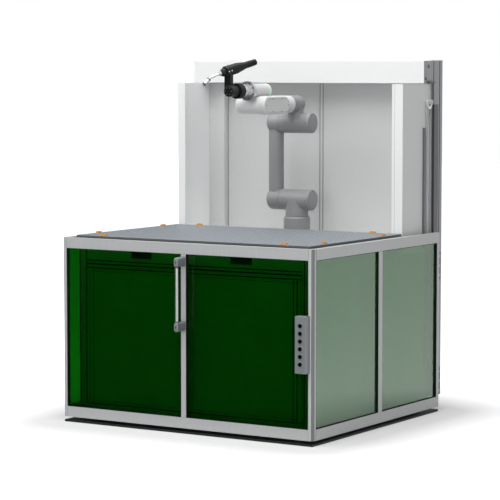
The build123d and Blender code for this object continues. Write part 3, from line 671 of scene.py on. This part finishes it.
grip_start, grip_length, grip_radius, grip_taper = -0.125, 0.065, 0.018, 0.002
ribs = Piece()
for y in (-0.1560, -0.1700, -0.1840):
    ribs.lathe(rib(0, 0.0030, 0.0020, 0.0405, 0.0424), (0, y, tool_z), front, fine_steps)
for number in range(9):
    place = -0.131 - number * 0.0068
    radius = grip_radius - grip_taper * (grip_start - place) / grip_length
    ribs.lathe(rib(place, 0.0022, 0.0014, radius - 0.0006, radius + 0.0012), torch_point, forward, 40)
for place in (-0.0240, -0.0400, -0.0560):
    ribs.lathe(rib(place, 0.0040, 0.0030, 0.0286, 0.0300), torch_point, forward, 48)
ribs.done("torch_ribs", black_plastic, "tool", "black_plastic")

torch_nut = Piece()
for place in (-0.009, 0.009):
    torch_nut.screw(torch_point + forward * place + sideways * 0.0305, sideways, 0.0038)
torch_nut.lathe([(0.0072, 0.0), (0.0125, 0.0), (0.0130, 0.0008), (0.0130, 0.0090), (0.0120, 0.0100), (0.0072, 0.0100)],
                torch_point + forward * 0.0470, forward, 36, hexes=(2, 3))
torch_nut.done("torch_nut", bright, "tool", "bright_steel")

neck_end = torch_point + forward * 0.1277 + down * 0.0093
neck_direction = forward * math.cos(neck_turn) + down * math.sin(neck_turn)
nozzle_rings = Piece()
nozzle_rings.lathe([(0.0110, -0.0004), (0.0120, 0.0002), (0.0120, 0.0082), (0.0102, 0.0088)],
                   neck_end, neck_direction, 40)
nozzle_rings.lathe([(0.0100, 0.0370), (0.0106, 0.0376), (0.0088, 0.0472), (0.0066, 0.0474), (0.0066, 0.0471),
                    (0, 0.0471)], neck_end, neck_direction, 40)
nozzle_rings.done("nozzle_rings", dark_steel, "tool", "rail_steel")


# Camera at the photograph's place

def add_object(name, data):
    item = bpy.data.objects.new(name, data)
    scene.collection.objects.link(item)
    return item


camera_yaw, camera_pitch = -0.559244, -0.0823071
camera_data = bpy.data.cameras.new("camera")
camera_data.lens = 158.95
camera_data.sensor_width = 36.0
camera_data.clip_end = 100.0
camera = add_object("camera", camera_data)
camera.location = (6.5485, -10.5062, 1.9649)
camera.rotation_euler = (math.pi / 2 + camera_pitch, 0.0, -camera_yaw)
scene.camera = camera


# Floor and world: white to the camera, to mirrors and through the screens, and weaker as a light

floor_size, floor_tone = 30.0, 0.6
footprint_half = (0.79, 0.72, 0.0)
glow_from, glow_to = (0.15, 0.84), (0.26, 1.0)
world_ambient = 0.08


def seen_directly(tree):
    """One for rays from the camera, off mirrors or through clear sheets, and zero for the rest."""
    path = tree.nodes.new("ShaderNodeLightPath")
    seen = path.outputs["Is Camera Ray"]
    for kind in ("Is Glossy Ray", "Is Transmission Ray"):
        either = tree.nodes.new("ShaderNodeMath")
        either.operation = "MAXIMUM"
        tree.links.new(seen, either.inputs[0])
        tree.links.new(path.outputs[kind], either.inputs[1])
        seen = either.outputs[0]
    return seen


def floor_material():
    """Pale floor that is white to the camera away from the cell and keeps the shadow round its base."""
    mat, tree, shader = new_material("pale_floor")
    shader.inputs["Base Color"].default_value = (floor_tone, floor_tone, floor_tone, 1)
    shader.inputs["Roughness"].default_value = 0.7
    shader.inputs["Specular IOR Level"].default_value = 0.1
    shader.inputs["Emission Color"].default_value = (1, 1, 1, 1)
    coord = tree.nodes.new("ShaderNodeTexCoord")
    beyond = coord.outputs["Object"]
    for operation, value in (("ABSOLUTE", None), ("SUBTRACT", footprint_half), ("MAXIMUM", (0, 0, 0))):
        step = tree.nodes.new("ShaderNodeVectorMath")
        step.operation = operation
        tree.links.new(beyond, step.inputs[0])
        if value:
            step.inputs[1].default_value = value
        beyond = step.outputs["Vector"]
    reach = tree.nodes.new("ShaderNodeVectorMath")
    reach.operation = "LENGTH"
    tree.links.new(beyond, reach.inputs[0])
    glow = tree.nodes.new("ShaderNodeMapRange")
    glow.inputs["From Min"].default_value, glow.inputs["From Max"].default_value = glow_from
    glow.inputs["To Min"].default_value, glow.inputs["To Max"].default_value = glow_to
    tree.links.new(reach.outputs["Value"], glow.inputs["Value"])
    strength = tree.nodes.new("ShaderNodeMath")
    strength.operation = "MULTIPLY"
    tree.links.new(seen_directly(tree), strength.inputs[0])
    tree.links.new(glow.outputs["Result"], strength.inputs[1])
    tree.links.new(strength.outputs[0], shader.inputs["Emission Strength"])
    return mat


floor_mesh = bpy.data.meshes.new("floor")
floor_bm = bmesh.new()
bmesh.ops.create_grid(floor_bm, x_segments=1, y_segments=1, size=floor_size)
floor_bm.to_mesh(floor_mesh)
floor_bm.free()
floor_mesh.materials.append(floor_material())
floor = add_object("floor", floor_mesh)

world = bpy.data.worlds.new("world")
scene.world = world
world.use_nodes = True
world_tree = world.node_tree
background = world_tree.nodes["Background"]
background.inputs["Color"].default_value = (1, 1, 1, 1)
world_level = world_tree.nodes.new("ShaderNodeMapRange")
world_level.inputs["To Min"].default_value = world_ambient
world_level.inputs["To Max"].default_value = 1.0
world_tree.links.new(seen_directly(world_tree), world_level.inputs["Value"])
world_tree.links.new(world_level.outputs["Result"], background.inputs["Strength"])

# Lamps, all aimed at the middle of the cell

lamp_target = Vector((0, 0, 1.0))


def lamp(name, place, size, watts):
    data = bpy.data.lights.new(name, "AREA")
    data.shape = "RECTANGLE"
    data.size, data.size_y = size
    data.energy = watts
    item = add_object(name, data)
    item.location = place
    item.rotation_euler = (lamp_target - Vector(place)).to_track_quat("-Z", "Y").to_euler()


lamp("key", (-5.0, -5.5, 7.5), (6.0, 6.0), 330)
lamp("front_high", (1.5, -4.0, 8.0), (5.0, 5.0), 330)
lamp("front_low", (1.0, -9.0, 2.6), (6.0, 3.0), 130)
lamp("fill", (7.0, -3.0, 4.5), (4.0, 4.0), 70)
lamp("top", (0.0, 0.0, 6.0), (4.0, 4.0), 150)

# Dark cards that only mirrors see: two for the front screens and one behind for the table plate

card_mat, _, card_shader = new_material("dark_card")
card_shader.inputs["Base Color"].default_value = (0.004, 0.004, 0.004, 1)
card_shader.inputs["Specular IOR Level"].default_value = 0.0


def dark_card(name, low, high):
    """A dark sheet between two opposite corners, flat or upright along X."""
    corners = (low, (high[0], low[1], low[2]), high, (low[0], high[1], high[2]))
    mesh = bpy.data.meshes.new(name)
    bm = bmesh.new()
    bm.faces.new([bm.verts.new(corner) for corner in corners])
    bm.to_mesh(mesh)
    bm.free()
    mesh.materials.append(card_mat)
    item = add_object(name, mesh)
    item.visible_camera = False
    item.visible_diffuse = False
    item.visible_shadow = False
    item.visible_transmission = False


dark_card("card_floor", (-14.0, -14.0, 0.002), (0.75, -0.95, 0.002))
dark_card("card_front", (-14.0, -14.0, 0.0), (2.0, -14.0, 9.0))
dark_card("card_back", (-9.0, 3.0, 0.6), (-0.85, 3.0, 4.0))
